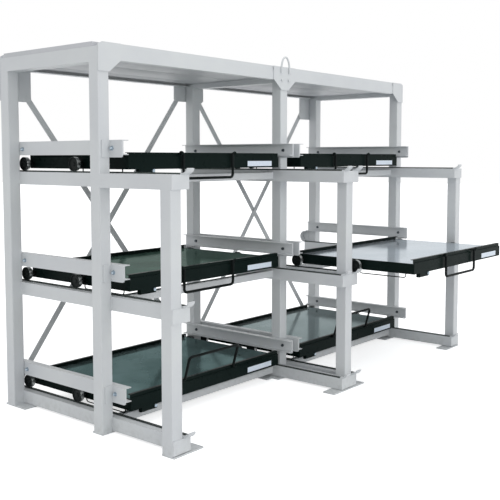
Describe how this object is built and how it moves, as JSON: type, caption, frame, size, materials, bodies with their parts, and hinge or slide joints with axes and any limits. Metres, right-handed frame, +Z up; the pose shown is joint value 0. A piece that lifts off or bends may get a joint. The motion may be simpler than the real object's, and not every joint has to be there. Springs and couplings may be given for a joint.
{
  "type": "sliding storage rack",
  "caption": "Free-standing steel rack of wheeled decks that roll out to the front on rails in welded side frames, each with a hinged pull handle.",
  "frame": {"origin": "on the floor under the middle of the box round the whole rack, with one deck drawn out", "axes": "+X to the right seen from the front, +Y to the rear, +Z up; the decks roll out towards -Y"},
  "size_m": [3.225, 1.9058, 2.1833],
  "materials": {
    "light_paint": "satin light grey paint over welded tube and plate",
    "black_paint": "semi-gloss black paint over folded steel",
    "sheet_steel": "smooth rolled sheet with soft reflections",
    "cast_iron": "blackened casting with turned tread",
    "black_bar": "black painted round bar"
  },
  "bodies": {
    "rack": {"side_frame_left": "light_paint", "side_frame_centre": "light_paint", "side_frame_right": "light_paint", "guide_left_1": "light_paint", "guide_left_2": "light_paint", "guide_left_3": "light_paint", "guide_centre_1": "light_paint", "guide_centre_2": "light_paint", "guide_centre_3": "light_paint", "guide_right_1": "light_paint", "guide_right_2": "light_paint", "guide_right_3": "light_paint", "front_beam_left": "light_paint", "front_beam_right": "light_paint", "front_centre_gusset": "light_paint", "rear_beam_left": "light_paint", "rear_beam_right": "light_paint", "rear_centre_gusset": "light_paint", "top_deck_left": "light_paint", "top_deck_right": "light_paint", "brace_rising_left": "light_paint", "brace_falling_left": "light_paint", "brace_rising_right": "light_paint", "brace_falling_right": "light_paint", "front_tie_left_1": "light_paint", "front_tie_left_2": "light_paint", "front_tie_left_3": "light_paint", "front_tie_right_1": "light_paint", "front_tie_right_2": "light_paint", "front_tie_right_3": "light_paint"},
    "deck_left_1": {"deck_frame_left_1": "black_paint", "deck_sheet_left_1": "sheet_steel"},
    "middle_wheels_left_1": {"middle_wheels_left_1": "cast_iron"},
    "rear_wheels_left_1": {"rear_wheels_left_1": "cast_iron"},
    "handle_left_1": {"handle_left_1": "black_bar"},
    "deck_left_2": {"deck_frame_left_2": "black_paint", "deck_sheet_left_2": "sheet_steel"},
    "middle_wheels_left_2": {"middle_wheels_left_2": "cast_iron"},
    "rear_wheels_left_2": {"rear_wheels_left_2": "cast_iron"},
    "handle_left_2": {"handle_left_2": "black_bar"},
    "deck_left_3": {"deck_frame_left_3": "black_paint", "deck_sheet_left_3": "sheet_steel"},
    "middle_wheels_left_3": {"middle_wheels_left_3": "cast_iron"},
    "rear_wheels_left_3": {"rear_wheels_left_3": "cast_iron"},
    "handle_left_3": {"handle_left_3": "black_bar"},
    "deck_right_1": {"deck_frame_right_1": "black_paint", "deck_sheet_right_1": "sheet_steel"},
    "middle_wheels_right_1": {"middle_wheels_right_1": "cast_iron"},
    "rear_wheels_right_1": {"rear_wheels_right_1": "cast_iron"},
    "handle_right_1": {"handle_right_1": "black_bar"},
    "deck_right_2": {"deck_frame_right_2": "black_paint", "deck_sheet_right_2": "sheet_steel"},
    "middle_wheels_right_2": {"middle_wheels_right_2": "cast_iron"},
    "rear_wheels_right_2": {"rear_wheels_right_2": "cast_iron"},
    "handle_right_2": {"handle_right_2": "black_bar"},
    "deck_right_3": {"deck_frame_right_3": "black_paint", "deck_sheet_right_3": "sheet_steel"},
    "middle_wheels_right_3": {"middle_wheels_right_3": "cast_iron"},
    "rear_wheels_right_3": {"rear_wheels_right_3": "cast_iron"},
    "handle_right_3": {"handle_right_3": "black_bar"}
  },
  "joints": [
    {"name": "slide_left_1", "type": "slide", "parent": "rack", "child": "deck_left_1", "axis": [0, -1, 0], "range_m": [-0.034, 0.882]},
    {"name": "middle_wheels_turn_left_1", "type": "hinge", "parent": "deck_left_1", "child": "middle_wheels_left_1", "pos_m": [-0.7875, 0.35658, 0.135], "axis": [1, 0, 0], "range_deg": [-49, 1264]},
    {"name": "rear_wheels_turn_left_1", "type": "hinge", "parent": "deck_left_1", "child": "rear_wheels_left_1", "pos_m": [-0.7875, 0.82758, 0.135], "axis": [1, 0, 0], "range_deg": [-49, 1264]},
    {"name": "handle_turn_left_1", "type": "hinge", "parent": "deck_left_1", "child": "handle_left_1", "pos_m": [-0.8255, -0.05942, 0.198], "axis": [-1, 0, 0], "range_deg": [-168, 36]},
    {"name": "slide_left_2", "type": "slide", "parent": "rack", "child": "deck_left_2", "axis": [0, -1, 0], "range_m": [-0.034, 0.882]},
    {"name": "middle_wheels_turn_left_2", "type": "hinge", "parent": "deck_left_2", "child": "middle_wheels_left_2", "pos_m": [-0.7875, 0.35658, 0.802], "axis": [1, 0, 0], "range_deg": [-49, 1264]},
    {"name": "rear_wheels_turn_left_2", "type": "hinge", "parent": "deck_left_2", "child": "rear_wheels_left_2", "pos_m": [-0.7875, 0.82758, 0.802], "axis": [1, 0, 0], "range_deg": [-49, 1264]},
    {"name": "handle_turn_left_2", "type": "hinge", "parent": "deck_left_2", "child": "handle_left_2", "pos_m": [-0.8255, -0.05942, 0.865], "axis": [-1, 0, 0], "range_deg": [-4, 200]},
    {"name": "slide_left_3", "type": "slide", "parent": "rack", "child": "deck_left_3", "axis": [0, -1, 0], "range_m": [-0.034, 0.882]},
    {"name": "middle_wheels_turn_left_3", "type": "hinge", "parent": "deck_left_3", "child": "middle_wheels_left_3", "pos_m": [-0.7875, 0.35658, 1.469], "axis": [1, 0, 0], "range_deg": [-49, 1264]},
    {"name": "rear_wheels_turn_left_3", "type": "hinge", "parent": "deck_left_3", "child": "rear_wheels_left_3", "pos_m": [-0.7875, 0.82758, 1.469], "axis": [1, 0, 0], "range_deg": [-49, 1264]},
    {"name": "handle_turn_left_3", "type": "hinge", "parent": "deck_left_3", "child": "handle_left_3", "pos_m": [-0.8255, -0.05942, 1.532], "axis": [-1, 0, 0], "range_deg": [-4, 200]},
    {"name": "slide_right_1", "type": "slide", "parent": "rack", "child": "deck_right_1", "axis": [0, -1, 0], "range_m": [-0.034, 0.882]},
    {"name": "middle_wheels_turn_right_1", "type": "hinge", "parent": "deck_right_1", "child": "middle_wheels_right_1", "pos_m": [0.7875, 0.35658, 0.135], "axis": [1, 0, 0], "range_deg": [-49, 1264]},
    {"name": "rear_wheels_turn_right_1", "type": "hinge", "parent": "deck_right_1", "child": "rear_wheels_right_1", "pos_m": [0.7875, 0.82758, 0.135], "axis": [1, 0, 0], "range_deg": [-49, 1264]},
    {"name": "handle_turn_right_1", "type": "hinge", "parent": "deck_right_1", "child": "handle_right_1", "pos_m": [0.7495, -0.05942, 0.198], "axis": [-1, 0, 0], "range_deg": [-168, 36]},
    {"name": "slide_right_2", "type": "slide", "parent": "rack", "child": "deck_right_2", "axis": [0, -1, 0], "range_m": [-0.916, 0]},
    {"name": "middle_wheels_turn_right_2", "type": "hinge", "parent": "deck_right_2", "child": "middle_wheels_right_2", "pos_m": [0.7875, -0.52542, 0.802], "axis": [1, 0, 0], "range_deg": [-1313, 0]},
    {"name": "rear_wheels_turn_right_2", "type": "hinge", "parent": "deck_right_2", "child": "rear_wheels_right_2", "pos_m": [0.7875, -0.05442, 0.802], "axis": [1, 0, 0], "range_deg": [-1313, 0]},
    {"name": "handle_turn_right_2", "type": "hinge", "parent": "deck_right_2", "child": "handle_right_2", "pos_m": [0.7495, -0.94142, 0.865], "axis": [-1, 0, 0], "range_deg": [-4, 200]},
    {"name": "slide_right_3", "type": "slide", "parent": "rack", "child": "deck_right_3", "axis": [0, -1, 0], "range_m": [-0.034, 0.882]},
    {"name": "middle_wheels_turn_right_3", "type": "hinge", "parent": "deck_right_3", "child": "middle_wheels_right_3", "pos_m": [0.7875, 0.35658, 1.469], "axis": [1, 0, 0], "range_deg": [-49, 1264]},
    {"name": "rear_wheels_turn_right_3", "type": "hinge", "parent": "deck_right_3", "child": "rear_wheels_right_3", "pos_m": [0.7875, 0.82758, 1.469], "axis": [1, 0, 0], "range_deg": [-49, 1264]},
    {"name": "handle_turn_right_3", "type": "hinge", "parent": "deck_right_3", "child": "handle_right_3", "pos_m": [0.7495, -0.05942, 1.532], "axis": [-1, 0, 0], "range_deg": [-4, 200]}
  ],
  "couplings": [
    {"joint": "middle_wheels_turn_left_1", "follows": "slide_left_1", "rad_per_m": 25},
    {"joint": "rear_wheels_turn_left_1", "follows": "slide_left_1", "rad_per_m": 25},
    {"joint": "middle_wheels_turn_left_2", "follows": "slide_left_2", "rad_per_m": 25},
    {"joint": "rear_wheels_turn_left_2", "follows": "slide_left_2", "rad_per_m": 25},
    {"joint": "middle_wheels_turn_left_3", "follows": "slide_left_3", "rad_per_m": 25},
    {"joint": "rear_wheels_turn_left_3", "follows": "slide_left_3", "rad_per_m": 25},
    {"joint": "middle_wheels_turn_right_1", "follows": "slide_right_1", "rad_per_m": 25},
    {"joint": "rear_wheels_turn_right_1", "follows": "slide_right_1", "rad_per_m": 25},
    {"joint": "middle_wheels_turn_right_2", "follows": "slide_right_2", "rad_per_m": 25},
    {"joint": "rear_wheels_turn_right_2", "follows": "slide_right_2", "rad_per_m": 25},
    {"joint": "middle_wheels_turn_right_3", "follows": "slide_right_3", "rad_per_m": 25},
    {"joint": "rear_wheels_turn_right_3", "follows": "slide_right_3", "rad_per_m": 25}
  ]
}
